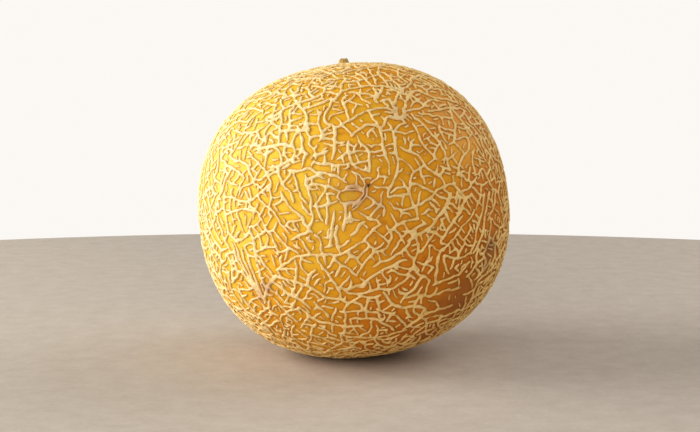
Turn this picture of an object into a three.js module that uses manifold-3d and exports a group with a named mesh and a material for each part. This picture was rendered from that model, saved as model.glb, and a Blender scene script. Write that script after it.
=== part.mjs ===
// A whole cantaloupe melon of the round, netted kind, standing on its blossom side with the dried stub
// of its stem on top. Units are millimetres, +Z is up, and the origin lies on the flat rest spot,
// straight below the middle of the fruit.
//
// The fruit is one solid. Its netting is corky skin that grew out of the rind, so it belongs to the
// same piece: the surface below is the level of the net's crowns. The stem stub is dead, woody tissue
// that breaks away from the fruit when it is ripe, so it is a piece of its own.

import * as THREE from 'three';
import { mergeVertices } from 'three/addons/utils/BufferGeometryUtils.js';
import Module from 'manifold-3d';

// ---- Driving dimensions of the fruit ----
const EQUATOR_DIAMETER = 148.8; // across, at right angles to the line from stem to blossom
const AXIS_LENGTH = 140.4; // from the stem end to the blossom end
const SQUARENESS = 2.25; // 2 is a true ellipse; a little more gives the full shoulders of a melon
const LEAN_SIDEWAYS = 8; // degrees that the stem end leans towards -X
const LEAN_BACK = 5; // degrees that it leans towards +Y
const CHEEK_COUNT = 3; // one soft cheek over each seed chamber
const CHEEK_RISE = 0.35; // how far a cheek's middle stands out from the mean shape
const CHEEK_TURN = 40; // degrees from +X to the middle of the first cheek
const REST_SPOT_DEPTH = 1.2; // how much the fruit's own weight has flattened at the bottom
const MESH_AROUND = 60; // facets around the axis
const MESH_ALONG = 36; // facets from end to end

// ---- Driving dimensions of the stem stub ----
const STUB_FOOT_RADIUS = 2.9;
const STUB_NECK_RADIUS = 1.9;
const STUB_TOP_RADIUS = 2.2;
const STUB_HEIGHT = 3.0; // from the fruit's skin to the torn top
const STUB_SHIFT = 5.0; // the stub sits this far from the end of the axis, on the +X side
const STUB_GAP = 0.3; // the layer where it parts from the fruit
const STUB_FACETS = 20;

const degrees = THREE.MathUtils.degToRad;
const wasm = await Module();
wasm.setup();

// ---- Shape of the fruit ----
// Distance from the middle to the skin, for a unit direction in the fruit's own frame, where Z is the
// line from the blossom to the stem. It is a superellipse turned around that line.
function skinRadius(direction) {
  const fromAxis = Math.hypot(direction.x, direction.y);
  const across = Math.pow(fromAxis / (EQUATOR_DIAMETER / 2), SQUARENESS);
  const along = Math.pow(Math.abs(direction.z) / (AXIS_LENGTH / 2), SQUARENESS);
  const turn = Math.atan2(direction.y, direction.x) - degrees(CHEEK_TURN);
  const cheek = CHEEK_RISE * fromAxis * fromAxis * Math.cos(CHEEK_COUNT * turn);
  return Math.pow(across + along, -1 / SQUARENESS) + cheek;
}

// The turn from the fruit's own frame to the way it leans when it rests.
const lean = new THREE.Matrix4().makeRotationY(-degrees(LEAN_SIDEWAYS));
lean.premultiply(new THREE.Matrix4().makeRotationX(-degrees(LEAN_BACK)));

function leaningFruit() {
  const geometry = new THREE.SphereGeometry(1, MESH_AROUND, MESH_ALONG);
  geometry.rotateX(Math.PI / 2);
  const position = geometry.attributes.position;
  const point = new THREE.Vector3();
  for (let i = 0; i < position.count; i += 1) {
    point.fromBufferAttribute(position, i).normalize();
    point.multiplyScalar(skinRadius(point));
    position.setXYZ(i, point.x, point.y, point.z);
  }
  geometry.applyMatrix4(lean);
  return geometry;
}

// ---- Between three.js geometry and manifold solids ----
function toSolid(geometry) {
  const plain = geometry.clone();
  plain.deleteAttribute('normal');
  plain.deleteAttribute('uv');
  const merged = mergeVertices(plain, 1e-4);
  const vertProperties = new Float32Array(merged.attributes.position.array);
  const triVerts = new Uint32Array(merged.index.array);
  return new wasm.Manifold(new wasm.Mesh({ numProp: 3, vertProperties, triVerts }));
}

function toGeometry(solid) {
  const mesh = solid.getMesh();
  const geometry = new THREE.BufferGeometry();
  geometry.setAttribute('position', new THREE.BufferAttribute(mesh.vertProperties, 3));
  geometry.setIndex(new THREE.BufferAttribute(mesh.triVerts, 1));
  geometry.computeVertexNormals();
  return geometry;
}

// ---- The fruit, set down on its rest spot ----
const whole = leaningFruit();
whole.computeBoundingBox();
const middle = whole.boundingBox.getCenter(new THREE.Vector3());
const setDown = new THREE.Vector3(-middle.x, -middle.y, -whole.boundingBox.min.z - REST_SPOT_DEPTH);
whole.translate(setDown.x, setDown.y, setDown.z);

const belowTable = new THREE.BoxGeometry(EQUATOR_DIAMETER, EQUATOR_DIAMETER, EQUATOR_DIAMETER);
belowTable.translate(0, 0, -EQUATOR_DIAMETER / 2);
const fruitSolid = toSolid(whole).subtract(toSolid(belowTable));

const fruit = new THREE.Mesh(
  toGeometry(fruitSolid),
  new THREE.MeshStandardMaterial({ color: 0xd9a441, roughness: 0.6, metalness: 0 }),
);
fruit.name = 'melon_fruit';

// ---- The stem stub ----
// A short waisted peg, made upright with its foot at the origin: it flares where it meets the fruit and
// again a little at its torn top.
const stubProfile = [
  new THREE.Vector2(0, 0),
  new THREE.Vector2(STUB_FOOT_RADIUS, 0),
  new THREE.Vector2(STUB_FOOT_RADIUS, STUB_HEIGHT * 0.15),
  new THREE.Vector2((STUB_FOOT_RADIUS + STUB_NECK_RADIUS) / 2, STUB_HEIGHT * 0.35),
  new THREE.Vector2(STUB_NECK_RADIUS, STUB_HEIGHT * 0.6),
  new THREE.Vector2(STUB_TOP_RADIUS, STUB_HEIGHT * 0.9),
  new THREE.Vector2(STUB_TOP_RADIUS * 0.8, STUB_HEIGHT),
  new THREE.Vector2(0, STUB_HEIGHT),
];

// Where the stub stands: a point of the skin near the stem end, and the axis' own direction.
const stemDirection = new THREE.Vector3(STUB_SHIFT, 0, AXIS_LENGTH / 2).normalize();
const stubFoot = stemDirection.clone().multiplyScalar(skinRadius(stemDirection));
const stubUp = new THREE.Vector3(0, 0, 1).transformDirection(lean);
stubFoot.applyMatrix4(lean).add(setDown).addScaledVector(stubUp, STUB_GAP);

const stub = new THREE.Mesh(
  new THREE.LatheGeometry(stubProfile, STUB_FACETS),
  new THREE.MeshStandardMaterial({ color: 0x8a7138, roughness: 0.9, metalness: 0 }),
);
stub.name = 'stem_stub';
stub.position.copy(stubFoot);
stub.quaternion.setFromUnitVectors(new THREE.Vector3(0, 1, 0), stubUp);

const melon = new THREE.Group();
melon.add(fruit, stub);
export default melon;
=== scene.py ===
# %% [markdown]
# # A netted cantaloupe melon
# The CAD model is a plain solid with a stem stub on top. This lesson gives it a thin yellow rind, a raised
# net of cork, a few healed scars, and a dry, torn stub. All of it is built around that solid, in metres.

# %% Load the fixed frame
import math

import bmesh
import bpy
import numpy as np
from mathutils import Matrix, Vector, kdtree


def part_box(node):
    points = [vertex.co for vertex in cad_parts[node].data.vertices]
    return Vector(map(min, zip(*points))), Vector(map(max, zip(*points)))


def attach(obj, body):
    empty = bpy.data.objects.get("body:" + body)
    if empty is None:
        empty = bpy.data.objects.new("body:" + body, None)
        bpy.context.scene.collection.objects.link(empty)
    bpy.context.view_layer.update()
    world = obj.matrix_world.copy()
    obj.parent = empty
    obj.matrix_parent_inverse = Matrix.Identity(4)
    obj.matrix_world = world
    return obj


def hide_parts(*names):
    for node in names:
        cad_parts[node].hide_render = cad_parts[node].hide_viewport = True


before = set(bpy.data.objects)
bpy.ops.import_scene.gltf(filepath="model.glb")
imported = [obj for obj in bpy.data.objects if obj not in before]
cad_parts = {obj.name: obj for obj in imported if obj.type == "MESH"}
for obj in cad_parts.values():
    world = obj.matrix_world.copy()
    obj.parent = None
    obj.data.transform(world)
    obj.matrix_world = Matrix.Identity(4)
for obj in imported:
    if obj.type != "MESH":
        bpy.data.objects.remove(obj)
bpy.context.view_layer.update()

MM = 0.001
fruit_low, fruit_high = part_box("melon_fruit")
stub_low, stub_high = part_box("stem_stub")


def new_object(name, data):
    """An object at the origin, in the scene."""
    made = bpy.data.objects.new(name, data)
    bpy.context.scene.collection.objects.link(made)
    return made


def to_mesh(bm, mesh):
    """Writes a finished bmesh to a mesh, with smooth faces."""
    for side in bm.faces:
        side.smooth = True
    bm.to_mesh(mesh)
    bm.free()
    return mesh


print("fruit", [round(side / MM, 1) for side in fruit_high - fruit_low], "mm")

# %% [markdown]
# ## The shape of the skin
# A melon is nearly a ball, a little flat at both ends, with full shoulders: a superellipse turned around
# the line from blossom to stem. Its proportions are the CAD solid's, and the frame gives size and place.
# Its own weight has flattened a small spot at the bottom. A soft maximum bends the skin into the table
# there, and changes nothing higher up.

# %% The skin as a function of direction
SQUARENESS = 2.25
AXIS_SHARE = 140.4 / 148.8  # stem-to-blossom length as a share of the equator's diameter
CHEEK_COUNT = 3
CHEEK_SHARE = 0.35 / 148.8
CHEEK_TURN = math.radians(40)
LEAN_SIDEWAYS = math.radians(8)
LEAN_BACK = math.radians(5)
SPOT_SOFTNESS = 0.6 * MM
PROBE_COUNT = 60000  # directions in which the shape is measured

side_turn = np.array([
    [math.cos(LEAN_SIDEWAYS), 0, -math.sin(LEAN_SIDEWAYS)],
    [0, 1, 0],
    [math.sin(LEAN_SIDEWAYS), 0, math.cos(LEAN_SIDEWAYS)],
])
back_turn = np.array([
    [1, 0, 0],
    [0, math.cos(LEAN_BACK), math.sin(LEAN_BACK)],
    [0, -math.sin(LEAN_BACK), math.cos(LEAN_BACK)],
])
LEAN = back_turn @ side_turn  # from the fruit's own frame to the way it leans at rest


def unit(vectors):
    return vectors / np.linalg.norm(vectors, axis=-1, keepdims=True)


def shape_radius(local):
    """Middle to skin for unit directions in the fruit's own frame, where the equator measures 1 across."""
    from_axis = np.hypot(local[:, 0], local[:, 1])
    across = (from_axis * 2) ** SQUARENESS
    along = (np.abs(local[:, 2]) * 2 / AXIS_SHARE) ** SQUARENESS
    turn = np.arctan2(local[:, 1], local[:, 0]) - CHEEK_TURN
    cheek = CHEEK_SHARE * from_axis ** 2 * np.cos(CHEEK_COUNT * turn)
    return (across + along) ** (-1 / SQUARENESS) + cheek


def spread_directions(count):
    """Unit directions spread evenly over a ball, as seeds are in a sunflower head."""
    golden_turn = math.pi * (3 - math.sqrt(5))
    step = np.arange(count) + 0.5
    height = 1 - 2 * step / count
    ring = np.sqrt(1 - height ** 2)
    return np.stack([ring * np.cos(golden_turn * step), ring * np.sin(golden_turn * step), height], 1)


probe = spread_directions(PROBE_COUNT)
shape = probe * shape_radius(probe @ LEAN)[:, None]
shape_low, shape_high = shape.min(0), shape.max(0)
equator = (fruit_high.x - fruit_low.x) / (shape_high[0] - shape_low[0])
box_middle = (np.array(fruit_low) + np.array(fruit_high)) / 2
middle = box_middle - equator * (shape_low + shape_high) / 2
middle[2] = fruit_high.z - equator * shape_high[2]


def skin(directions):
    """Points of the skin's outermost level, and the way each faces, for unit directions from the middle."""
    local = directions @ LEAN
    points = middle + directions * equator * shape_radius(local)[:, None]
    from_axis = np.maximum(np.hypot(local[:, 0], local[:, 1]), 1e-9)
    sideways = (from_axis * 2) ** (SQUARENESS - 1)
    endways = (np.abs(local[:, 2]) * 2 / AXIS_SHARE) ** (SQUARENESS - 1) / AXIS_SHARE
    facing = np.stack([
        sideways * local[:, 0] / from_axis,
        sideways * local[:, 1] / from_axis,
        endways * np.sign(local[:, 2]),
    ], 1)
    facing = unit(facing) @ LEAN.T
    height = points[:, 2].copy()
    root = np.sqrt(height ** 2 + SPOT_SOFTNESS ** 2)
    points[:, 2] = (height + root) / 2
    facing[:, :2] *= ((1 + height / root) / 2)[:, None]
    return points, unit(facing)


print("equator", round(equator / MM, 2), "mm, middle", np.round(middle / MM, 2), "mm")

# %% [markdown]
# ## The plan of the net
# As the fruit swells, its skin cracks, and cork closes each crack as a raised ridge. The first cracks are
# long, and most run beside an older one. Later ones open across the cells, mostly at a right angle to the
# crack beside them, and run until they meet another or die out. The plan grows in the same order, as
# strings of beads on a ball. Smooth random fields, made of many sine waves, bring the variety.

# %% Random fields and beads
NET_SEED = 11
BALL = 73.3  # millimetres: the net is planned on a ball of about the fruit's size
STEP = 0.22  # millimetres between the beads of a ridge
WAVE_SPREAD = (0.7, 1.4)  # how much shorter and longer than the stated one the waves of a field are
rng = np.random.default_rng(NET_SEED)


def ripples(wavelength, waves=28):
    """A smooth random field: give it points in millimetres and it returns three numbers for each."""
    heading = unit(rng.normal(size=(waves, 3)))
    heading *= 2 * math.pi / wavelength * rng.uniform(*WAVE_SPREAD, (waves, 1))
    phases = rng.uniform(0, 2 * math.pi, (3, waves))

    def field(points):
        angle = points @ heading.T
        return np.stack([np.sin(angle + phase).sum(1) for phase in phases], 1) / math.sqrt(waves / 2)

    return field


def onto_ball(points):
    return unit(points) * BALL


class BeadStore:
    """All beads laid so far, with a quick search for the nearest. Fresh beads wait outside the tree."""

    def __init__(self, room=250000, fresh_limit=2500):
        self.rows = np.zeros((room, 7))  # x, y, z, the way along, and the width
        self.count = 0
        self.in_tree = 0
        self.fresh_limit = fresh_limit

    def lay(self, line):
        self.rows[self.count:self.count + len(line)] = line
        self.count += len(line)
        if self.count - self.in_tree > self.fresh_limit:
            self.tree = kdtree.KDTree(self.count)
            for index, bead in enumerate(self.rows[:self.count, :3].tolist()):
                self.tree.insert(bead, index)
            self.tree.balance()
            self.in_tree = self.count

    def nearest(self, point):
        index, distance = 0, math.inf
        if self.in_tree:
            _, index, distance = self.tree.find(point)
        fresh = self.rows[self.in_tree:self.count, :3]
        if len(fresh):
            gaps = fresh - point
            gaps = np.einsum("ij,ij->i", gaps, gaps)
            closest = int(gaps.argmin())
            if gaps[closest] < distance ** 2:
                index, distance = self.in_tree + closest, math.sqrt(gaps[closest])
        return index, distance


net = BeadStore()
print("the net is planned on a ball", 2 * BALL, "mm across, with a bead every", STEP, "mm")

# %% [markdown]
# ## One crack
# A crack opens at a free spot and runs both ways. It sways a little, turns towards an older ridge once it
# is close, and joins it at about a right angle. A shy end stops just short. Open ends thin out.

# %% Run a crack both ways
MEET = 0.6  # a crack this close to another ridge joins it
SHY_GAP = (1.1, 1.5)  # where a shy end stops
FEEL = 1.9  # from this distance on a crack turns towards the ridge ahead
PULL = 0.16  # how sharply it turns
MEMORY = 0.85  # how much of its last sideways turn a crack keeps
PACE = 0.33  # millimetres a crack runs between two looks around
REACH_SHARE = (0.5, 1.0)  # each way, a crack gets this share of its round's reach
SHORTEST = 1.7  # millimetres: shorter cracks heal without a trace
TAPER = 1.6  # millimetres over which an open end thins out
TIP = 0.5  # the width that is left at an open end


def run(start, heading, reach, shy, sway):
    """The path of a crack one way from its start, and whether it joined another ridge."""
    path = [start]
    turning = 0.0
    gap = rng.uniform(*SHY_GAP) if shy else MEET
    for _ in range(int(reach / PACE)):
        turning = MEMORY * turning + rng.normal() * sway
        normal = path[-1] / BALL
        side = np.cross(normal, heading)
        ahead = path[-1] + (heading + side * turning) * PACE
        ahead *= BALL / math.sqrt(ahead @ ahead)
        index, distance = net.nearest(ahead)
        if distance < gap:
            if shy:
                return np.array(path), False
            return np.array(path + [ahead, net.rows[index, :3]]), True
        heading = (ahead - path[-1]) / PACE
        if distance < FEEL and not shy:
            heading = heading + (net.rows[index, :3] - ahead) * PULL
            heading = heading / math.sqrt(heading @ heading)
        path.append(ahead)
    return np.array(path), False


def bead_line(path, width, open_start, open_end):
    """Evenly spaced beads along a path. Open ends thin out."""
    steps = np.linalg.norm(np.diff(path, axis=0), axis=1)
    along = np.concatenate([[0], np.cumsum(steps)])
    count = max(int(along[-1] / STEP), 2) + 1
    at = np.linspace(0, along[-1], count)
    beads = np.stack([np.interp(at, along, path[:, axis]) for axis in range(3)], 1)
    heading = np.gradient(beads, axis=0)
    heading /= np.maximum(np.linalg.norm(heading, axis=1, keepdims=True), 1e-9)
    from_start = at / TAPER if open_start else np.ones(count)
    from_end = (along[-1] - at) / TAPER if open_end else np.ones(count)
    thin = np.sin(np.clip(np.minimum(from_start, from_end), 0, 1) * math.pi / 2)
    return np.column_stack([onto_ball(beads), heading, width * (TIP + (1 - TIP) * thin)])


def crack(start, heading, reach, width, shyness, sway):
    """Opens a crack at a spot and lays its beads."""
    heading = heading - start * (heading @ start) / BALL ** 2
    heading = unit(heading)
    halves = []
    for way in (heading, -heading):
        half_reach = reach * rng.uniform(*REACH_SHARE)
        halves.append(run(start, way, half_reach, rng.uniform() < shyness, sway))
    (ahead, met_ahead), (behind, met_behind) = halves
    path = np.concatenate([behind[:0:-1], ahead])
    if len(path) * PACE > SHORTEST:
        net.lay(bead_line(path, width, not met_behind, not met_ahead))


print("cracks feel a ridge from", FEEL, "mm away and join it at", MEET, "mm")

# %% [markdown]
# ## Scars come first
# A few early wounds healed as thick cork, browner and pinker than the net. The largest, at the front, is a
# smooth oval island with a thick lip over it and a double seam down its side. Later cracks grow up to the
# scars and join them. Each scar is a handful of strokes around a spot, in millimetres right and up.

# %% Strokes on the skin
def spot(turn, rise):
    """A place on the ball: degrees round to the right of the front, and degrees above the middle."""
    turn, rise = math.radians(turn), math.radians(rise)
    level = math.cos(rise)
    return BALL * np.array([math.sin(turn) * level, -math.cos(turn) * level, math.sin(rise)])


def stroke(centre, places, width, thin_start=True, thin_end=True):
    """Lays a smooth stroke through places given in millimetres right of and above a centre."""
    outward = unit(centre)
    right = unit(np.cross((0.0, 0.0, 1.0), outward))
    top = np.cross(outward, right)
    path = np.array([centre + across * right + up * top for across, up in places])
    for _ in range(3):
        near, far = path[:-1] * 0.75 + path[1:] * 0.25, path[:-1] * 0.25 + path[1:] * 0.75
        cut = np.stack([near, far], 1).reshape(-1, 3)
        path = np.concatenate([path[:1], cut, path[-1:]])
    net.lay(bead_line(onto_ball(path), width, thin_start, thin_end))


def around(radius, turn):
    return radius * math.cos(turn), radius * math.sin(turn)


def ring_places(radius, points=16):
    return [around(radius, 2 * math.pi * step / points) for step in range(points + 1)]


def spokes(centre, inner, shortest, longest, count, width):
    """Strokes that fan out from a ring, with uneven spacing and length."""
    for step in range(count):
        turn = 2 * math.pi * (step + rng.uniform(-0.25, 0.25)) / count
        outer = inner + rng.uniform(shortest, longest)
        bend = turn + rng.uniform(-0.12, 0.12)
        ends = [around(inner, turn), around(outer, bend)]
        stroke(centre, ends, width * rng.uniform(0.8, 1.15), thin_start=False)


print("the middle of the front is at", spot(0, 0), "mm")

# %% Lay the scars
front_scar = spot(1.4, 13.0)
stroke(front_scar, [(-5.2, 2.0), (-3.0, 3.1), (0.4, 2.7), (2.2, 1.4)], 2.2)
stroke(front_scar, [(-7.9, 1.2), (-4.4, 1.0), (0.2, 1.2), (2.4, -0.4)], 1.2)
stroke(front_scar, [(-7.9, 1.2), (-8.5, -1.5), (-7.5, -4.2)], 1.2)
stroke(front_scar, [(-7.7, -4.7), (-4.2, -5.1), (-0.8, -4.7), (1.5, -3.2)], 2.0)
stroke(front_scar, [(4.6, 3.2), (3.6, 0.8), (3.8, -1.8), (2.2, -4.4), (-1.6, -7.6)], 1.15)
stroke(front_scar, [(3.2, 3.0), (2.3, 0.5), (2.5, -1.9), (0.9, -3.8), (-2.4, -6.6)], 1.05)
stroke(front_scar, [(3.6, -2.2), (7.6, -4.9), (11.6, -5.6)], 1.7)
stroke(front_scar, [(4.4, 2.6), (8.4, 5.8), (9.4, 9.4)], 1.3)
stroke(front_scar, [(4.0, 2.8), (1.8, 7.2), (-3.2, 8.6)], 1.2)
stroke(front_scar, [(-0.9, 3.0), (-0.6, 6.0), (-2.6, 8.4)], 1.3)

shoulder_scar = spot(19.3, 43.1)
stroke(shoulder_scar, [(-0.8, 6.2), (0.2, 1.0), (0.4, -4.4)], 2.9)
stroke(shoulder_scar, [(-2.6, -4.8), (1.2, -5.2), (5.8, -3.2)], 2.4)
stroke(shoulder_scar, [(-7.0, 9.4), (-7.2, 6.6), (-6.6, 4.4)], 2.2)
for step in range(4):
    near = (2.2 + 1.5 * step, -4.4 + 0.7 * step)
    far = (3.4 + 1.8 * step, -8.0 + 0.9 * step)
    stroke(shoulder_scar, [near, far], 1.1)

side_scar = spot(-34.6, -22.0)
stroke(side_scar, [(7.2, 6.6), (1.2, 1.0), (-2.6, -6.6)], 2.2)
stroke(side_scar, [(1.2, 0.6), (4.2, -2.2), (7.0, -6.0)], 1.6)
for step in range(4):
    apart = step - 1.5
    bundle = [(-14.6 + 3.4 * apart, 19.0), (-10.4 + 2.5 * apart, 8.0), (-3.6 + 0.8 * apart, -6.0)]
    stroke(side_scar, bundle, 1.5)

stub_middle = (np.array(stub_low) + np.array(stub_high)) / 2
stem_end = unit(stub_middle - middle) * BALL
stroke(stem_end, ring_places(3.9), 2.3, False, False)
spokes(stem_end, 3.9, 3.0, 9.0, 11, 1.6)
blossom_end = -LEAN[:, 2] * BALL
stroke(blossom_end, ring_places(2.2), 2.6, False, False)
stroke(blossom_end, ring_places(6.5), 1.8, False, False)
spokes(blossom_end, 2.4, 3.0, 3.9, 7, 1.5)
spokes(blossom_end, 6.5, 3.0, 9.0, 13, 1.5)
print("scars take", round(net.count * STEP), "mm of cork")

# %% [markdown]
# ## The cracks open
# The first round has few, long and broad cracks with much room around them, and each later one fills what
# is left with shorter and finer ones. Where the skin grew slowly, a crack needs more room.

# %% Open the cracks, round after round
ROUNDS = [  # tries, room, reach each way and width in millimetres, shyness, sway, share beside a ridge
    (900, 4.4, 20, 1.60, 0.15, 0.016, 0.7),
    (3000, 3.1, 11, 1.54, 0.25, 0.02, 0.1),
    (6000, 2.4, 8, 1.48, 0.35, 0.022, 0.05),
    (10000, 1.98, 5, 1.42, 0.50, 0.025, 0.1),
    (14000, 1.7, 3.4, 1.36, 0.58, 0.03, 0.15),
    (14000, 1.52, 2.3, 1.30, 0.65, 0.03, 0.2),
]
CROWDING_SHARE = 0.10
SCATTER = 0.22  # how far a crack may start off its ideal direction
WIDTH_SPREAD = (0.85, 1.15)
crowding = ripples(30)  # where the net is open and where it is close
girth = ripples(45)  # where the strands are thicker, and where they are thinner
GIRTH_SHARE = 0.05
smooth_spot = spot(44, -26)  # hardly any cracks opened around here
SMOOTH_REACH = 11
OPEN_PLACES = [  # middle, reach in millimetres, how much more room a crack needs there
    (smooth_spot, SMOOTH_REACH, 1.3),
    (spot(-0.9, 11.7), 3.6, 2.2),
]

for tries, room, reach, width, shyness, sway, alongside in ROUNDS:
    before, made = net.count, 0
    starts = onto_ball(rng.normal(size=(tries, 3)))
    rooms = room * (1 + CROWDING_SHARE * np.clip(crowding(starts)[:, 0], -1.2, 1.2))
    for open_place, open_reach, extra in OPEN_PLACES:
        gaps = np.linalg.norm(starts - open_place, axis=1)
        rooms *= 1 + extra * np.exp(-(gaps / open_reach) ** 2)
    for start, needed in zip(starts, rooms):
        index, distance = net.nearest(start)
        if distance < needed:
            continue
        if rng.uniform() < alongside:
            heading = net.rows[index, 3:6]
        else:
            heading = np.cross(start, net.rows[index, 3:6]) / BALL
        heading = heading + rng.normal(size=3) * SCATTER
        crack(start, heading, reach, width * rng.uniform(*WIDTH_SPREAD), shyness, sway)
        made += 1
    print(made, "cracks with", room, "mm of room,", round((net.count - before) * STEP / 1000, 1), "m")

# %% [markdown]
# ## Growth bends the lines
# The skin went on stretching unevenly after it had cracked. So every bead is pushed a little by a wide
# field and by a fine one, which makes straight cracks wavy, and the strands swell and thin slowly.

# %% Warp the net
WIDE_PUSH = 0.25  # millimetres
FINE_PUSH = 0.2
warp_wide = ripples(10)
warp_fine = ripples(4.5)
net_beads = net.rows[:net.count].copy()
places = net_beads[:, :3] + warp_wide(net_beads[:, :3]) * WIDE_PUSH
net_beads[:, :3] = onto_ball(places + warp_fine(places) * FINE_PUSH)
net_beads[:, 6] *= 1 + GIRTH_SHARE * np.clip(girth(places)[:, 0], -2, 2)
print(round(len(net_beads) * STEP / 1000, 1), "m of net in all")

# %% [markdown]
# ## From lines to raised cork
# Each bead spreads a soft bump over the skin around it. Where strands meet, the bumps add up and fill
# the corner between them. The ball is laid out as six cube faces, each an even square grid.

# %% Places on the six faces of a cube
FACES = {  # the way right, the way up, and the way out of each face
    "front": ((1, 0, 0), (0, 0, 1), (0, -1, 0)),
    "back": ((-1, 0, 0), (0, 0, 1), (0, 1, 0)),
    "right": ((0, 1, 0), (0, 0, 1), (1, 0, 0)),
    "left": ((0, -1, 0), (0, 0, 1), (-1, 0, 0)),
    "top": ((1, 0, 0), (0, 1, 0), (0, 0, 1)),
    "bottom": ((1, 0, 0), (0, -1, 0), (0, 0, -1)),
}
LEAST_DEPTH = 0.2  # points nearer than this share of the ball's radius belong to other faces


def grid_line(place, squares):
    """The nearest line of a grid that runs from -1 to 1."""
    return np.rint((place + 1) / 2 * squares).astype(int)


def face_axes(face):
    return (np.array(axis, float) for axis in FACES[face])


def face_directions(face, across, up):
    """Unit directions for places on a cube face, both from -1 to 1 and evenly spaced in angle."""
    right, top, out = face_axes(face)
    spread = np.tan(across * math.pi / 4)[:, None] * right + np.tan(up * math.pi / 4)[:, None] * top
    return unit(spread + out)


def face_places(face, points):
    """The places on a cube face of points on the ball, and which of them lie on its side of the ball."""
    right, top, out = face_axes(face)
    depth = points @ out
    ahead = depth > LEAST_DEPTH * BALL
    depth = np.where(ahead, depth, 1)
    across = np.arctan(points @ right / depth) * 4 / math.pi
    up = np.arctan(points @ top / depth) * 4 / math.pi
    return across, up, ahead


print("faces:", ", ".join(FACES))

# %% [markdown]
# ## The bumps add up
# Every bead reaches only a few grid points. So the sum goes through that small window of grid steps, and
# handles all the beads at once for each step.

# %% Sum the bumps on a cube face
FOOT = 0.25  # the height of the summed bumps at the edge of a ridge
BUMP_SHARE = 1 / (2 * math.sqrt(2 * math.log(1 / FOOT)))  # a bump's spread, as a share of the width
WIDE = 1.9  # strands wider than this reach farther
SHRINK = 0.72  # the smallest grid squares, as a share of the mean one
MARGIN = 2.5  # beads this many reaches outside a face still count


def summed_bumps(face, squares, beads, spread, reach):
    """Sums each bead's bump on the points of a square grid over a cube face, one row after another."""
    across, up, ahead = face_places(face, beads[:, :3])
    margin = MARGIN * reach / BALL
    near = ahead & (np.abs(across) < 1 + margin) & (np.abs(up) < 1 + margin)
    beads, spread = beads[near], spread[near]
    weight = STEP / (spread * math.sqrt(2 * math.pi))
    column, row = grid_line(across[near], squares), grid_line(up[near], squares)
    lines = np.linspace(-1, 1, squares + 1)
    grid_across, grid_up = np.meshgrid(lines, lines)
    sites = face_directions(face, grid_across.ravel(), grid_up.ravel()) * BALL
    total = np.zeros(len(sites))
    window = math.ceil(reach / (BALL * math.pi / 2 / squares * SHRINK))
    for row_step in range(-window, window + 1):
        for column_step in range(-window, window + 1):
            at_row, at_column = row + row_step, column + column_step
            inside = (at_row >= 0) & (at_row <= squares) & (at_column >= 0) & (at_column <= squares)
            site = at_row[inside] * (squares + 1) + at_column[inside]
            gap = sites[site] - beads[inside, :3]
            gap = np.einsum("ij,ij->i", gap, gap)
            bump = weight[inside] * np.exp(-gap / (2 * spread[inside] ** 2))
            total += np.bincount(site, bump, minlength=len(total))
    return total.reshape(squares + 1, squares + 1)


print("a strand 1 mm wide is a bump with a spread of", round(BUMP_SHARE, 3), "mm")

# %% [markdown]
# ## Marks on the skin
# Scars are browner than the net, a bruise is greyer, and small pits are nearly black. Each is a soft round
# patch, and the meshes carry its strength for the materials.

# %% How strong the marks are at a place
SCAR_PATCHES = [  # middle, radius in millimetres, strength
    (spot(0.6, 12.0), 7.0, 1.0),
    (spot(9.0, 8.6), 4.0, 0.7),
    (spot(-33.8, -21.8), 4.6, 1.0),
    (spot(-39.5, -25.5), 4.2, 0.7),
    (spot(20.5, 41.5), 5.0, 0.45),
    (stem_end, 6.5, 0.75),
    (blossom_end, 8.5, 0.8),
]
BRUISE_PATCHES = [
    (spot(58.4, -9.0), 5.5, 0.75),
    (spot(57.0, -16.0), 4.0, 0.55),
    (spot(46.0, -27.0), 13.0, 0.2),
]
PITS = [
    (spot(5.0, 15.3), 1.1, 1.0),
    (spot(-1.6, 20.6), 0.8, 0.9),
    (spot(-6.6, -13.4), 1.0, 0.8),
    (spot(-10.6, 4.5), 0.6, 0.6),
    (spot(-31.0, -21.0), 0.8, 0.8),
    (spot(20.2, 44.6), 0.7, 0.7),
    (spot(-36.8, -13.0), 0.7, 0.6),
]


def mark_strength(directions, patches):
    """The strongest of the patches at each direction, from 0 to 1."""
    strength = np.zeros(len(directions))
    for centre, radius, most in patches:
        gap = np.linalg.norm(directions * BALL - centre, axis=1)
        strength = np.maximum(strength, most * np.exp(-(gap / radius) ** 3))
    return strength


def store(mesh, name, values):
    """Stores a number on every point of a mesh, for the materials."""
    mesh.attributes.new(name, "FLOAT", "POINT").data.foreach_set("value", values)


def carry_marks(mesh, directions):
    for name, patches in (("scar", SCAR_PATCHES), ("bruise", BRUISE_PATCHES), ("pit", PITS)):
        store(mesh, name, mark_strength(directions, patches))


print(len(SCAR_PATCHES), "scar,", len(BRUISE_PATCHES), "bruise and", len(PITS), "pit patches")

# %% [markdown]
# ## The cork net as real geometry
# Each half of a cube face gives one piece of net. A flat grid loses the squares that no ridge covers, and
# the rest is extruded into a closed shell. Every point then goes to its place on the skin: the top to the
# height of the ridge, and the underside a little below the rind. The two meet at the rim and are welded,
# but not where one piece borders on the next, so the ridges run on without a gap.

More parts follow.
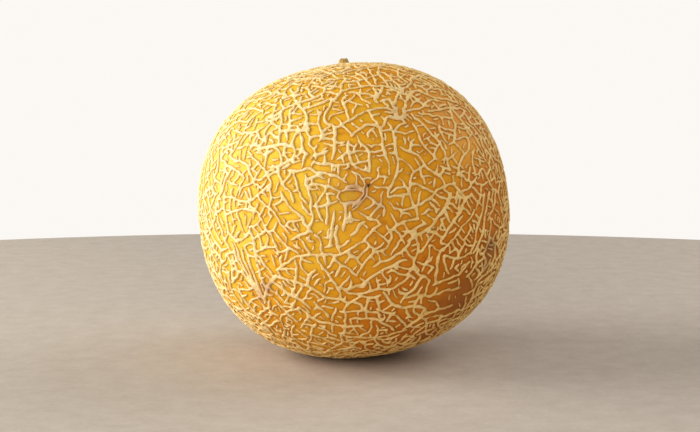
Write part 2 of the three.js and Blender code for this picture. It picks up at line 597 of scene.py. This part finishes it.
# %% Height of the cork
GRID = 336  # squares along a cube face's side
NET_HEIGHT = 0.62 * MM  # from the rind to a ridge's crown
NET_SUNK = 0.3 * MM  # how far the rim and the underside lie below the rind
KEPT = 0.16  # squares with less of a bump than this are taken away
STEEPNESS = 2.3  # how quickly the flanks rise to the crown
SWELL_SHARE = 0.16  # slow ups and downs along the crowns
GRAIN_SHARE = 0.07  # quick ones
CROWN_LIMITS = (0.6, 1.25)  # the lowest and highest crowns, as shares of the net's height
MEETING_RISE = 0.14  # how much higher the net is for each unit of bump past 1
MOST_RISE = 1.2  # units of bump that count for this
SMOOTH_DROP = 0.45  # how much lower the net is around the smooth spot
PIT_DROP = 0.5  # and in the middle of a pit
SUNK_BELOW = 0.06  # with this little of a bump the sheet is sunk all the way
TABLE_GAP = 0.01 * MM  # the flattened cork at the bottom stays this far above the table
crown_grain = ripples(1.6, 40)
crown_swell = ripples(7.0, 30)


def ridge_height(bump, points):
    """Height over the rind in metres for summed bumps. Ridges have steep flanks and a rounded crown."""
    share = np.clip((bump - FOOT) / (1 - FOOT), 0, 1)
    swell = 1 + SWELL_SHARE * crown_swell(points)[:, 0] + GRAIN_SHARE * crown_grain(points)[:, 0]
    crown = NET_HEIGHT * (1 - (1 - share) ** STEEPNESS) * np.clip(swell, *CROWN_LIMITS)
    crown *= 1 + MEETING_RISE * np.clip(bump - 1, 0, MOST_RISE)
    from_smooth = np.linalg.norm(points - smooth_spot, axis=1)
    crown *= 1 - SMOOTH_DROP * np.exp(-(from_smooth / SMOOTH_REACH) ** 2)
    crown *= 1 - PIT_DROP * mark_strength(points / BALL, PITS)
    below = -NET_SUNK * np.clip((FOOT - bump) / (FOOT - SUNK_BELOW), 0, 1)
    return np.where(bump > FOOT, crown, below)


print("a grid square is", round(BALL * math.pi / 2 / GRID, 2), "mm wide")

# %% [markdown]
# ## The flat sheet
# Where a strip is one square wide, top and underside would be welded into a sheet without thickness. Such
# squares are taken away first, so that every edge of the finished shell has two faces.

# %% The flat sheet of one piece
def without_necks(kept):
    """Takes away squares that would have no thickness, and ones that hang on by an edge only."""
    while True:
        whole = np.ones((kept.shape[0] + 1, kept.shape[1] + 1), bool)
        whole[1:-1, 1:-1] = kept[:-1, :-1] & kept[1:, :-1] & kept[:-1, 1:] & kept[1:, 1:]
        thin = kept & ~(whole[:-1, :-1] | whole[1:, :-1] | whole[:-1, 1:] | whole[1:, 1:])
        beside = kept[:, :-1] & kept[:, 1:] & ~whole[:-1, 1:-1] & ~whole[1:, 1:-1]
        above = kept[:-1] & kept[1:] & ~whole[1:-1, :-1] & ~whole[1:-1, 1:]
        if not thin.any() and not beside.any() and not above.any():
            return kept
        kept = kept & ~thin
        kept[:, :-1] &= ~beside
        kept[:-1] &= ~above


def flat_sheet(name, bumps, rows):
    """A grid without its bare squares, extruded upwards by 1."""
    bm = bmesh.new()
    bmesh.ops.create_grid(bm, x_segments=GRID, y_segments=rows, size=1)
    middles = np.array([square.calc_center_median()[:2] for square in bm.faces])
    column = np.clip(((middles[:, 0] + 1) / 2 * GRID).astype(int), 0, GRID - 1)
    row = np.clip(((middles[:, 1] + 1) / 2 * rows).astype(int), 0, rows - 1)
    mean = (bumps[:-1, :-1] + bumps[1:, :-1] + bumps[:-1, 1:] + bumps[1:, 1:]) / 4
    kept = without_necks(mean > KEPT)
    bm.faces.ensure_lookup_table()
    bare = [bm.faces[index] for index in np.flatnonzero(~kept[row, column])]
    bmesh.ops.delete(bm, geom=bare, context="FACES")
    extruded = bmesh.ops.extrude_face_region(bm, geom=bm.faces[:])
    upper = [item for item in extruded["geom"] if isinstance(item, bmesh.types.BMVert)]
    bmesh.ops.translate(bm, verts=upper, vec=(0, 0, 1))
    return to_mesh(bm, bpy.data.meshes.new(name))


# %% [markdown]
# ## From sheet to shell
# The rim is where a wall joins top and underside. Its two sides are sent to the same place and welded. The
# bake map is the flat sheet itself: the top gets nearly all of it, and the hidden underside a thin strip.

# %% Helpers for a piece of net
TOP_STRIP = 0.93  # the share of the bake map's height for the top
UNDERSIDE_STRIP = 0.05  # and for the underside, with a gap between them
WELD_DISTANCE = 0.002 * MM


def numbers(items, field, width, kind=float):
    """Reads one field of all the items of a mesh as an array with a row for each."""
    flat = np.empty(len(items) * width, kind)
    items.foreach_get(field, flat)
    return flat.reshape(-1, width)


def find_rim(mesh, flat, is_top):
    """The points that a wall joins, but not the walls on the outer border of the sheet."""
    ends = numbers(mesh.edges, "vertices", 2, np.int32)
    rim = np.zeros(len(flat), bool)
    rim[ends[is_top[ends[:, 0]] != is_top[ends[:, 1]]].ravel()] = True
    return rim & (np.abs(flat[:, :2]).max(1) < 1 - 1e-6)


def lay_bake_map(mesh, flat, is_top):
    corner = numbers(mesh.loops, "vertex_index", 1, np.int32)[:, 0]
    places = (flat[corner, :2] + 1) / 2
    on_top = places[:, 1] * TOP_STRIP
    underneath = 1 - UNDERSIDE_STRIP + places[:, 1] * UNDERSIDE_STRIP
    places[:, 1] = np.where(is_top[corner], on_top, underneath)
    mesh.uv_layers.new(name="OFBake").data.foreach_set("uv", places.ravel())


def weld(mesh, rim):
    """Welds the rim, turns the faces outwards, and counts the edges that don't have two faces."""
    bm = bmesh.new()
    bm.from_mesh(mesh)
    bm.verts.ensure_lookup_table()
    rim_verts = [bm.verts[index] for index in np.flatnonzero(rim)]
    bmesh.ops.remove_doubles(bm, verts=rim_verts, dist=WELD_DISTANCE)
    bmesh.ops.recalc_face_normals(bm, faces=bm.faces[:])
    open_edges = sum(len(edge.link_faces) != 2 for edge in bm.edges)
    to_mesh(bm, mesh)
    return open_edges


# %% One piece of net
def net_piece(name, face, half, bumps):
    """One closed piece of net over half of a cube face: 0 is its lower half and 1 its upper half."""
    rows = GRID // 2
    first_row = half * rows
    bumps = bumps[first_row:first_row + rows + 1]
    mesh = flat_sheet(name, bumps, rows)
    flat = numbers(mesh.vertices, "co", 3)
    is_top = flat[:, 2] > 0.5
    rim = find_rim(mesh, flat, is_top)
    lay_bake_map(mesh, flat, is_top)

    column, row = grid_line(flat[:, 0], GRID), grid_line(flat[:, 1], rows)
    directions = face_directions(face, column / GRID * 2 - 1, (row + first_row) / GRID * 2 - 1)
    height = ridge_height(bumps[row, column], directions * BALL)
    height = np.where(rim | ~is_top, -NET_SUNK, height)
    outer, facing = skin(directions)
    places = outer + facing * (height - NET_HEIGHT)[:, None]
    places[:, 2] = np.maximum(places[:, 2], TABLE_GAP)
    mesh.vertices.foreach_set("co", places.ravel())
    store(mesh, "crown", np.clip(height / NET_HEIGHT, 0, 1.2))
    carry_marks(mesh, directions)
    open_edges = weld(mesh, rim)
    piece = new_object(name, mesh)
    print(name, len(mesh.polygons), "faces,", open_edges, "edges without two faces")
    return piece


# %% Build the net's pieces
NARROW_REACH = 1.4  # millimetres a bead's bump reaches
WIDE_REACH = 2.6
net_pieces = []
is_wide = net_beads[:, 6] > WIDE
bead_spread = net_beads[:, 6] * BUMP_SHARE
for face in FACES:
    bumps = summed_bumps(face, GRID, net_beads[~is_wide], bead_spread[~is_wide], NARROW_REACH)
    bumps += summed_bumps(face, GRID, net_beads[is_wide], bead_spread[is_wide], WIDE_REACH)
    for half, half_name in enumerate(("lower", "upper")):
        piece = net_piece(f"cork_net_{face}_{half_name}", face, half, bumps)
        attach(piece, "root")
        net_pieces.append(piece)

# %% [markdown]
# ## The rind
# Under the net lies one smooth closed skin: a finely cut cube blown up to the fruit's shape, so that its
# squares stay even all over. The skin is darker near the net, partly its own colour and partly painted
# shade of the raised ridges, so every point carries how much is near.

# %% A cube of fine squares
RIND_SQUARES = 126

bm = bmesh.new()
bmesh.ops.create_cube(bm, size=2)
bmesh.ops.subdivide_edges(bm, edges=bm.edges[:], cuts=RIND_SQUARES - 1, use_grid_fill=True)
rind_mesh = to_mesh(bm, bpy.data.meshes.new("rind"))
print("rind", len(rind_mesh.polygons), "faces")

# %% The shade of the net, and the bake map
NET_SHADE_SPREAD = 0.8  # millimetres the shade of the net spreads over the rind
NET_SHADE_REACH = 2.4  # and how far off it still counts
TILES = {"front": (0, 0), "right": (1, 0), "back": (2, 0), "left": (0, 1), "top": (1, 1), "bottom": (2, 1)}
HALF_TILE = 0.49  # half a tile's side in the bake map, with a small gap around it

cube = numbers(rind_mesh.vertices, "co", 3)
cube_facing = numbers(rind_mesh.polygons, "normal", 3)
corner = numbers(rind_mesh.loops, "vertex_index", 1, np.int32)[:, 0]
corner_facing = np.repeat(cube_facing, 4, axis=0)
net_shade = np.zeros(len(cube))
bake_places = np.zeros((len(corner), 2))
net_shade_spread = np.full(len(net_beads), NET_SHADE_SPREAD)
for face, (tile_across, tile_up) in TILES.items():
    right, top, out = face_axes(face)
    shade = summed_bumps(face, RIND_SQUARES, net_beads, net_shade_spread, NET_SHADE_REACH)
    here = cube @ out > 1 - 1e-6
    column, row = (grid_line(cube[here] @ axis, RIND_SQUARES) for axis in (right, top))
    net_shade[here] = shade[row, column]
    mine = corner_facing @ out > 0.5
    bake_places[mine, 0] = (tile_across + 0.5 + cube[corner[mine]] @ right * HALF_TILE) / 3
    bake_places[mine, 1] = (tile_up + 0.5 + cube[corner[mine]] @ top * HALF_TILE) / 2
rind_mesh.uv_layers.new(name="OFBake").data.foreach_set("uv", bake_places.ravel())
print("mean shade of the net", round(net_shade.mean(), 2))

# %% Blow the cube up to the rind
rind_directions = unit(np.tan(np.clip(cube, -1, 1) * math.pi / 4))
outer, facing = skin(rind_directions)
rind_mesh.vertices.foreach_set("co", (outer - facing * NET_HEIGHT).ravel())
store(rind_mesh, "net_shade", net_shade)
carry_marks(rind_mesh, rind_directions)
rind_mesh.update()
rind = new_object("rind", rind_mesh)
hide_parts("melon_fruit")
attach(rind, "root")
print("the rind lies", NET_HEIGHT / MM, "mm under the net's crowns")

# %% [markdown]
# ## The stem stub
# A ripe melon slips off its vine and leaves a short dry stub. Its foot flares into the skin, its neck is
# grooved by fibres, and its top is torn and hollow. A profile is spun round, and then grooved.

# %% Spin the stub
STUB_PROFILE = [  # radius and height in millimetres, from the hidden foot to the torn middle
    (4.3, -0.8), (4.0, -0.3), (3.5, 0.15), (3.0, 0.55), (2.6, 1.0), (2.35, 1.45), (2.2, 1.9), (2.1, 2.3),
    (1.95, 2.6), (1.7, 2.85), (1.35, 2.98), (1.05, 2.9), (0.8, 2.7), (0.5, 2.6), (0.25, 2.55), (0.0, 2.55),
]
STUB_AROUND = 64

bm = bmesh.new()
profile = [bm.verts.new((radius, 0, height)) for radius, height in STUB_PROFILE]
foot_middle = bm.verts.new((0, 0, STUB_PROFILE[0][1]))
chain = [foot_middle] + profile
edges = [bm.edges.new(pair) for pair in zip(chain[:-1], chain[1:])]
bmesh.ops.spin(
    bm, geom=chain + edges, cent=(0, 0, 0), axis=(0, 0, 1), angle=2 * math.pi, steps=STUB_AROUND,
    use_merge=True,
)
bmesh.ops.remove_doubles(bm, verts=bm.verts[:], dist=0.001)
bmesh.ops.recalc_face_normals(bm, faces=bm.faces[:])
stub_mesh = to_mesh(bm, bpy.data.meshes.new("stem_stub_dry"))
print("stub", len(stub_mesh.polygons), "faces")

# %% Groove, tear and plant the stub
STUB_HEIGHT = 2.9  # millimetres to the edge of the torn top
TORN_FROM = 1.8  # the tear fades out below this height
GROOVES = 11
STUB_LEAN = 0.12
stub_root, stub_facing = skin(stem_end[None] / BALL)
stub_root = stub_root[0] - stub_facing[0] * NET_HEIGHT
local = numbers(stub_mesh.vertices, "co", 3)
stub_dents = ripples(2.2)
turn = np.arctan2(local[:, 1], local[:, 0])
high = np.clip(local[:, 2] / STUB_HEIGHT, 0, 1)
groove = 0.045 * np.cos(GROOVES * turn + 0.8 * np.sin(2 * turn)) + 0.03 * np.cos(5 * turn + 1.2)
local[:, :2] *= (1 + groove * (0.5 + 0.5 * high) + 0.03 * stub_dents(local)[:, 0])[:, None]
torn = 0.16 * np.sin(3 * turn + 0.6) + 0.10 * np.sin(7 * turn) + 0.06 * np.cos(13 * turn + 2)
off_middle = np.clip(np.hypot(local[:, 0], local[:, 1]), 0, 1)
local[:, 2] += np.clip(local[:, 2] - TORN_FROM, 0, 1) * torn * off_middle
local[:, 0] += STUB_LEAN * np.maximum(local[:, 2], 0)
toward = Vector(stub_facing[0]).to_track_quat("Z", "Y").to_matrix()
stub_places = local @ np.array(toward).T * MM + stub_root
stub_mesh.vertices.foreach_set("co", stub_places.ravel())
store(stub_mesh, "height", high)
store(stub_mesh, "fibre", 0.5 + groove * 4)
stub_mesh.update()
stub = new_object("stem_stub_dry", stub_mesh)
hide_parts("stem_stub")
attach(stub, "root")
print("stub top", round(stub_places[:, 2].max() / MM, 2), "mm, in CAD", round(stub_high.z / MM, 2), "mm")

# %% [markdown]
# ## Materials
# Rind, cork and stub share three effects, so each is made once as a node group: how ripe a place is, with
# painted shade on the side away from the window, a fine grain, and scattered pores.

# %% Helpers for node trees
def put(tree, socket, value):
    """Links a socket to another one, or gives it a plain value."""
    if isinstance(value, bpy.types.NodeSocket):
        tree.links.new(value, socket)
    elif socket.type == "RGBA":
        socket.default_value = (*value, 1)
    else:
        socket.default_value = value


def add(tree, kind, inputs=None, **settings):
    """A node with its settings made and its inputs filled."""
    made = tree.nodes.new(kind)
    for key, value in settings.items():
        setattr(made, key, value)
    for name, value in (inputs or {}).items():
        put(tree, made.inputs[name], value)
    return made


def ramp(tree, source, stops):
    """A colour ramp over a value. The stops are pairs of a place and a colour."""
    made = add(tree, "ShaderNodeValToRGB", {"Fac": source})
    band = made.color_ramp
    for element, (place, colour) in zip(band.elements, (stops[0], stops[-1])):
        element.position, element.color = place, (*colour, 1)
    for place, colour in stops[1:-1]:
        band.elements.new(place).color = (*colour, 1)
    return made.outputs["Color"]


def blend(tree, share, first, second, mode="MIX"):
    """Mixes two colours."""
    made = add(tree, "ShaderNodeMix", {0: share, 6: first, 7: second}, data_type="RGBA", blend_type=mode)
    return made.outputs[2]


def rescale(tree, source, low, high, new_low, new_high):
    return add(tree, "ShaderNodeMapRange", {
        "Value": source, "From Min": low, "From Max": high, "To Min": new_low, "To Max": new_high,
    }).outputs["Result"]


def maths(tree, operation, first, second, clamp=False):
    made = add(tree, "ShaderNodeMath", {0: first, 1: second}, operation=operation, use_clamp=clamp)
    return made.outputs[0]


def carried(tree, name):
    """The value of an attribute that the mesh carries."""
    return add(tree, "ShaderNodeAttribute", attribute_name=name).outputs["Fac"]


# %% Helpers for groups and materials
def new_group(name, inputs, outputs):
    """An empty node group, with what it is given and what it results in."""
    group = bpy.data.node_groups.new(name, "ShaderNodeTree")
    for label, value in inputs.items():
        socket = group.interface.new_socket(label, in_out="INPUT", socket_type="NodeSocketFloat")
        socket.default_value = value
    for label in outputs:
        group.interface.new_socket(label, in_out="OUTPUT", socket_type="NodeSocketFloat")
    return group, add(group, "NodeGroupInput").outputs, add(group, "NodeGroupOutput").inputs


def use_group(tree, group, **values):
    inputs = {name.replace("_", " "): value for name, value in values.items()}
    return add(tree, "ShaderNodeGroup", inputs, node_tree=group).outputs


def new_material(name):
    material = bpy.data.materials.new(name)
    material.use_nodes = True
    return material, material.node_tree, material.node_tree.nodes["Principled BSDF"]


def tint(tree, colour, mask, share, towards):
    """Turns a colour towards another one by a share of a mask."""
    return blend(tree, maths(tree, "MULTIPLY", mask, share), colour, towards)


def dusty(tree, colour, tone, share, dark, clean_from):
    """Darkens a colour where the grain's tone is low."""
    dust = ramp(tree, tone, [(0.0, dark), (clean_from, (1.0, 1.0, 1.0))])
    return blend(tree, share, colour, dust, "MULTIPLY")


def finish_surface(tree, shader, colour, made_grain, roughness, strength, distance):
    """Links the colour, a roughness that follows the grain's tone, and a bump from the grain's height."""
    put(tree, shader.inputs["Base Color"], colour)
    put(tree, shader.inputs["Roughness"], rescale(tree, made_grain["Tone"], 0.0, 1.0, *roughness))
    relief = {"Strength": strength, "Distance": distance, "Height": made_grain["Height"]}
    put(tree, shader.inputs["Normal"], add(tree, "ShaderNodeBump", relief).outputs["Normal"])


# %% [markdown]
# ## Ripeness and painted shade
# A slanting line darkens the colour from the lit upper left to the shaded lower right, away from the
# window: painted shade. Ripeness grows once more around the stem, and soft blotches of noise break it up.

# %% Shared effect: how ripe a place is
LIT_TO_SHADED_WAY = (0.80, -0.10, -0.58)  # from the lit upper left to the shaded lower right: painted shade
RIPE_AND_SHADE_SPAN = 0.075  # metres from the fruit's middle to either end of the change
STEM_FROM = 0.035  # metres above the middle where the extra ripeness near the stem begins
STEM_EXTRA = 0.35

ripeness_and_shade, given, result = new_group("ripeness_and_shade", {"Blotch Scale": 30.0, "Blotch Strength": 0.5}, ["Ripe"])
place = add(ripeness_and_shade, "ShaderNodeTexCoord").outputs["Object"]
centred = add(ripeness_and_shade, "ShaderNodeMapping", {"Vector": place, "Location": tuple(-middle)}).outputs["Vector"]


def distance_along(way):
    """How far a place lies along a way from the fruit's middle."""
    product = add(ripeness_and_shade, "ShaderNodeVectorMath", {0: centred, 1: way}, operation="DOT_PRODUCT")
    return product.outputs["Value"]


# Painted shade: this slope darkens the side that faces away from the window.
slope = rescale(ripeness_and_shade, distance_along(LIT_TO_SHADED_WAY), -RIPE_AND_SHADE_SPAN, RIPE_AND_SHADE_SPAN, 0.0, 1.0)
near_stem = rescale(ripeness_and_shade, distance_along((0.0, 0.0, 1.0)), STEM_FROM, RIPE_AND_SHADE_SPAN, 0.0, STEM_EXTRA)
blotch = add(ripeness_and_shade, "ShaderNodeTexNoise", {
    "Vector": place, "Scale": given["Blotch Scale"], "Detail": 3.0, "Roughness": 0.55,
}).outputs["Fac"]
patchy = maths(ripeness_and_shade, "MULTIPLY", maths(ripeness_and_shade, "SUBTRACT", blotch, 0.5), given["Blotch Strength"])
ripe_and_shade = maths(ripeness_and_shade, "ADD", maths(ripeness_and_shade, "ADD", slope, near_stem), patchy, clamp=True)
put(ripeness_and_shade, result["Ripe"], ripe_and_shade)
print(ripeness_and_shade.name, "has", len(ripeness_and_shade.nodes), "nodes")

# %% [markdown]
# ## Grain and pores
# Grain is a coarse and a fine noise, read once as a tone and once as a height. Pores are the middles of
# Voronoi cells, and only a share of the cells gets one.

# %% Shared effect: grain
grain, given, result = new_group("grain", {"Coarse Scale": 300.0, "Fine Scale": 1500.0}, ["Tone", "Height"])
place = add(grain, "ShaderNodeTexCoord").outputs["Object"]
coarse, fine = [
    add(grain, "ShaderNodeTexNoise", {
        "Vector": place, "Scale": given[label], "Detail": 4.0, "Roughness": 0.6,
    }).outputs["Fac"]
    for label in ("Coarse Scale", "Fine Scale")
]
tone = maths(grain, "ADD", maths(grain, "MULTIPLY", coarse, 0.6), maths(grain, "MULTIPLY", fine, 0.4))
put(grain, result["Tone"], rescale(grain, tone, 0.35, 0.65, 0.0, 1.0))
put(grain, result["Height"], maths(grain, "ADD", fine, maths(grain, "MULTIPLY", coarse, 0.5)))
print(grain.name, "has", len(grain.nodes), "nodes")

# %% Shared effect: scattered pores
pores, given, result = new_group("pores", {"Scale": 500.0, "Size": 0.2, "Share": 0.3}, ["Mask"])
place = add(pores, "ShaderNodeTexCoord").outputs["Object"]
cells = add(pores, "ShaderNodeTexVoronoi", {"Vector": place, "Scale": given["Scale"], "Randomness": 1.0})
chosen = add(pores, "ShaderNodeSeparateColor", {"Color": cells.outputs["Color"]}).outputs["Red"]
is_chosen = maths(pores, "LESS_THAN", chosen, given["Share"])
from_middle = maths(pores, "DIVIDE", cells.outputs["Distance"], given["Size"])
inside = maths(pores, "MAXIMUM", maths(pores, "SUBTRACT", 1.0, from_middle), 0.0)
put(pores, result["Mask"], maths(pores, "MULTIPLY", inside, is_chosen))
print(pores.name, "has", len(pores.nodes), "nodes")

# %% [markdown]
# ## Rind
# The rind is waxy and golden. It deepens from lemon yellow over gold to a burnt orange around the stem and,
# as painted shade, towards the shaded lower right. It darkens right beside the cork, partly its own colour
# and partly painted shade of the net, and has fine pores.

# %% Rind material
rind_material, tree, shader = new_material("rind_skin")
ripe_and_shade = use_group(tree, ripeness_and_shade, Blotch_Scale=38.0, Blotch_Strength=0.55)["Ripe"]
# Towards the lower right the darker end of this ramp is painted shade; near the stem it is ripeness.
colour = ramp(tree, ripe_and_shade, [
    (0.0, (0.78, 0.63, 0.11)),
    (0.30, (0.84, 0.53, 0.035)),
    (0.55, (0.85, 0.40, 0.014)),
    (0.80, (0.66, 0.21, 0.008)),
    (1.0, (0.42, 0.12, 0.008)),
])
# Painted shade, partly the skin's own colour: the rind is multiplied darker where the net is near.
shade = rescale(tree, carried(tree, "net_shade"), 0.25, 1.25, 0.0, 0.75)
colour = blend(tree, shade, colour, (0.56, 0.28, 0.09), "MULTIPLY")
skin_grain = use_group(tree, grain, Coarse_Scale=260.0, Fine_Scale=1400.0)
colour = dusty(tree, colour, skin_grain["Tone"], 0.35, dark=(0.62, 0.52, 0.40), clean_from=0.5)
skin_pores = use_group(tree, pores, Scale=900.0, Size=0.28, Share=0.35)["Mask"]
colour = tint(tree, colour, skin_pores, 0.5, (0.30, 0.20, 0.02))
colour = tint(tree, colour, carried(tree, "scar"), 0.28, (0.34, 0.13, 0.03))
colour = tint(tree, colour, carried(tree, "bruise"), 0.65, (0.20, 0.10, 0.045))
put(tree, shader.inputs["Specular IOR Level"], 0.14)
finish_surface(tree, shader, colour, skin_grain, roughness=(0.46, 0.62), strength=0.25, distance=0.2 * MM)
rind_mesh.materials.append(rind_material)
print(rind_material.name, "has", len(tree.nodes), "nodes")

# %% [markdown]
# ## Cork
# Fresh cork is cream on its crown and tan down its flanks, with a thin dark line at the foot that is partly
# dirt and partly painted shade where the ridge meets the rind. Old wounds are pinkish brown. The surface is
# dry and rough, with a fine grain and a few dark specks.

# %% Cork material
cork_material, tree, shader = new_material("cork_net")
crown = carried(tree, "crown")
ripe_and_shade = use_group(tree, ripeness_and_shade, Blotch_Scale=60.0, Blotch_Strength=0.5)["Ripe"]
# In this ramp and the two below, the lowest stops paint a thin dark line at the foot of each ridge: partly
# dirt, partly painted shade.
fresh = ramp(tree, crown, [
    (0.0, (0.16, 0.055, 0.008)),
    (0.14, (0.30, 0.12, 0.014)),
    (0.38, (0.80, 0.53, 0.14)),
    (0.75, (0.90, 0.70, 0.33)),
    (1.0, (0.93, 0.77, 0.44)),
])
weathered_and_shaded = ramp(tree, crown, [
    (0.0, (0.10, 0.03, 0.006)),
    (0.15, (0.20, 0.07, 0.010)),
    (0.40, (0.70, 0.38, 0.08)),
    (0.72, (0.89, 0.57, 0.18)),
    (1.0, (0.93, 0.64, 0.24)),
])
# Painted shade, partly weathering: towards the lower right, away from the window, the cork turns to the
# darker weathered ramp.
colour = blend(tree, rescale(tree, ripe_and_shade, 0.15, 0.85, 0.0, 1.0), fresh, weathered_and_shaded)
old = ramp(tree, crown, [
    (0.0, (0.10, 0.03, 0.012)),
    (0.3, (0.30, 0.12, 0.05)),
    (0.8, (0.56, 0.31, 0.17)),
    (1.0, (0.66, 0.40, 0.24)),
])
colour = tint(tree, colour, carried(tree, "scar"), 0.75, old)
cork_grain = use_group(tree, grain, Coarse_Scale=420.0, Fine_Scale=1900.0)
colour = dusty(tree, colour, cork_grain["Tone"], 0.5, dark=(0.60, 0.47, 0.34), clean_from=0.55)
specks = use_group(tree, pores, Scale=420.0, Size=0.24, Share=0.16)["Mask"]
colour = tint(tree, colour, specks, 0.9, (0.16, 0.07, 0.025))
colour = tint(tree, colour, carried(tree, "bruise"), 0.6, (0.27, 0.15, 0.09))
colour = blend(tree, carried(tree, "pit"), colour, (0.045, 0.015, 0.008))
put(tree, shader.inputs["Specular IOR Level"], 0.2)
finish_surface(tree, shader, colour, cork_grain, roughness=(0.62, 0.86), strength=0.45, distance=0.3 * MM)
for piece in net_pieces:
    piece.data.materials.append(cork_material)
print(cork_material.name, "has", len(tree.nodes), "nodes, on", len(net_pieces), "pieces")

# %% [markdown]
# ## Dry stem
# The stub is golden at its foot, olive brown up its neck, and paler where the fibres are torn. The grooves
# are darker.

# %% Stub material
stub_material, tree, shader = new_material("dry_stem")
stub_grain = use_group(tree, grain, Coarse_Scale=900.0, Fine_Scale=3200.0)
colour = ramp(tree, carried(tree, "height"), [
    (0.0, (0.72, 0.46, 0.11)),
    (0.35, (0.64, 0.41, 0.10)),
    (0.75, (0.52, 0.33, 0.08)),
    (1.0, (0.60, 0.42, 0.15)),
])
in_groove = rescale(tree, carried(tree, "fibre"), 0.2, 0.7, 0.45, 0.0)
colour = blend(tree, in_groove, colour, (0.26, 0.15, 0.04))
colour = dusty(tree, colour, stub_grain["Tone"], 0.5, dark=(0.45, 0.38, 0.30), clean_from=1.0)
finish_surface(tree, shader, colour, stub_grain, roughness=(0.7, 0.92), strength=0.6, distance=0.2 * MM)
stub_mesh.materials.append(stub_material)
print(stub_material.name, "has", len(tree.nodes), "nodes")

# %% [markdown]
# ## Camera
# The camera looks down a little and stands about five fruits away, with a long lens, so the fruit keeps
# its round shape.

# %% Place the camera
ELEVATION = math.radians(7)
DISTANCE = 0.794
AIM_SHIFT = Vector((-1.9, 0, -2.9)) * MM
centre = Vector(middle)
camera_data = bpy.data.cameras.new("camera")
camera_data.lens = 85
camera_data.sensor_width = 36
camera = new_object("camera", camera_data)
camera.location = centre + Vector((0, -math.cos(ELEVATION), math.sin(ELEVATION))) * DISTANCE
camera.rotation_euler = (centre + AIM_SHIFT - camera.location).to_track_quat("-Z", "Y").to_euler()
bpy.context.scene.camera = camera
print("camera at", [round(value, 3) for value in camera.location])

# %% [markdown]
# ## Stage
# The fruit stands on a plain pale round table that ends behind it against a white room.

# %% Floor
FLOOR_RADIUS = 0.85
FLOOR_BACK_EDGE = 0.43
bm = bmesh.new()
bmesh.ops.create_circle(bm, cap_ends=True, segments=256, radius=FLOOR_RADIUS)
bmesh.ops.translate(bm, verts=bm.verts[:], vec=(0, FLOOR_BACK_EDGE - FLOOR_RADIUS, 0))
floor_mesh = to_mesh(bm, bpy.data.meshes.new("floor"))
floor = new_object("floor", floor_mesh)

floor_material, tree, shader = new_material("pale_floor")
mottle = use_group(tree, grain, Coarse_Scale=90.0, Fine_Scale=420.0)["Tone"]
colour = ramp(tree, mottle, [(0.0, (0.46, 0.395, 0.33)), (1.0, (0.54, 0.475, 0.41))])
put(tree, shader.inputs["Base Color"], colour)
put(tree, shader.inputs["Roughness"], 0.7)
floor_mesh.materials.append(floor_material)
print("the table ends", FLOOR_BACK_EDGE, "m behind the fruit")

# %% [markdown]
# ## Light
# A wide window on the left gives most of the light. A softer glow from the front and a weak one from the
# far side open the shade. The room looks brighter than the light it gives, or the shadow would wash out.

# %% Lights
def area_light(name, place, size, power, colour, shine=1.0):
    data = bpy.data.lights.new(name, "AREA")
    data.shape = "SQUARE"
    data.size = size
    data.energy = power
    data.color = colour
    data.specular_factor = shine
    lamp = new_object(name, data)
    lamp.location = place
    lamp.rotation_euler = (centre - Vector(place)).to_track_quat("-Z", "Y").to_euler()


area_light("window", (-1.15, 0.05, 0.46), 0.9, 19.5, (1.0, 0.99, 0.95), shine=0.6)
area_light("room", (-0.4, -1.3, 0.62), 1.1, 10.5, (1.0, 0.97, 0.92))
area_light("far_side", (0.95, 0.45, 0.8), 0.9, 7.5, (1.0, 0.98, 0.95), shine=0.15)

# %% The white room
ROOM_LIGHT = 0.27
ROOM_LOOK = 0.97
world = bpy.data.worlds.new("pale_room")
bpy.context.scene.world = world
world.use_nodes = True
tree = world.node_tree
background = tree.nodes["Background"]
put(tree, background.inputs["Color"], (1.0, 0.97, 0.93))
seen = add(tree, "ShaderNodeLightPath").outputs["Is Camera Ray"]
put(tree, background.inputs["Strength"], rescale(tree, seen, 0.0, 1.0, ROOM_LIGHT, ROOM_LOOK))
bpy.context.scene.view_settings.view_transform = "Standard"
print(len(bpy.data.lights), "lamps in a room of strength", ROOM_LIGHT)
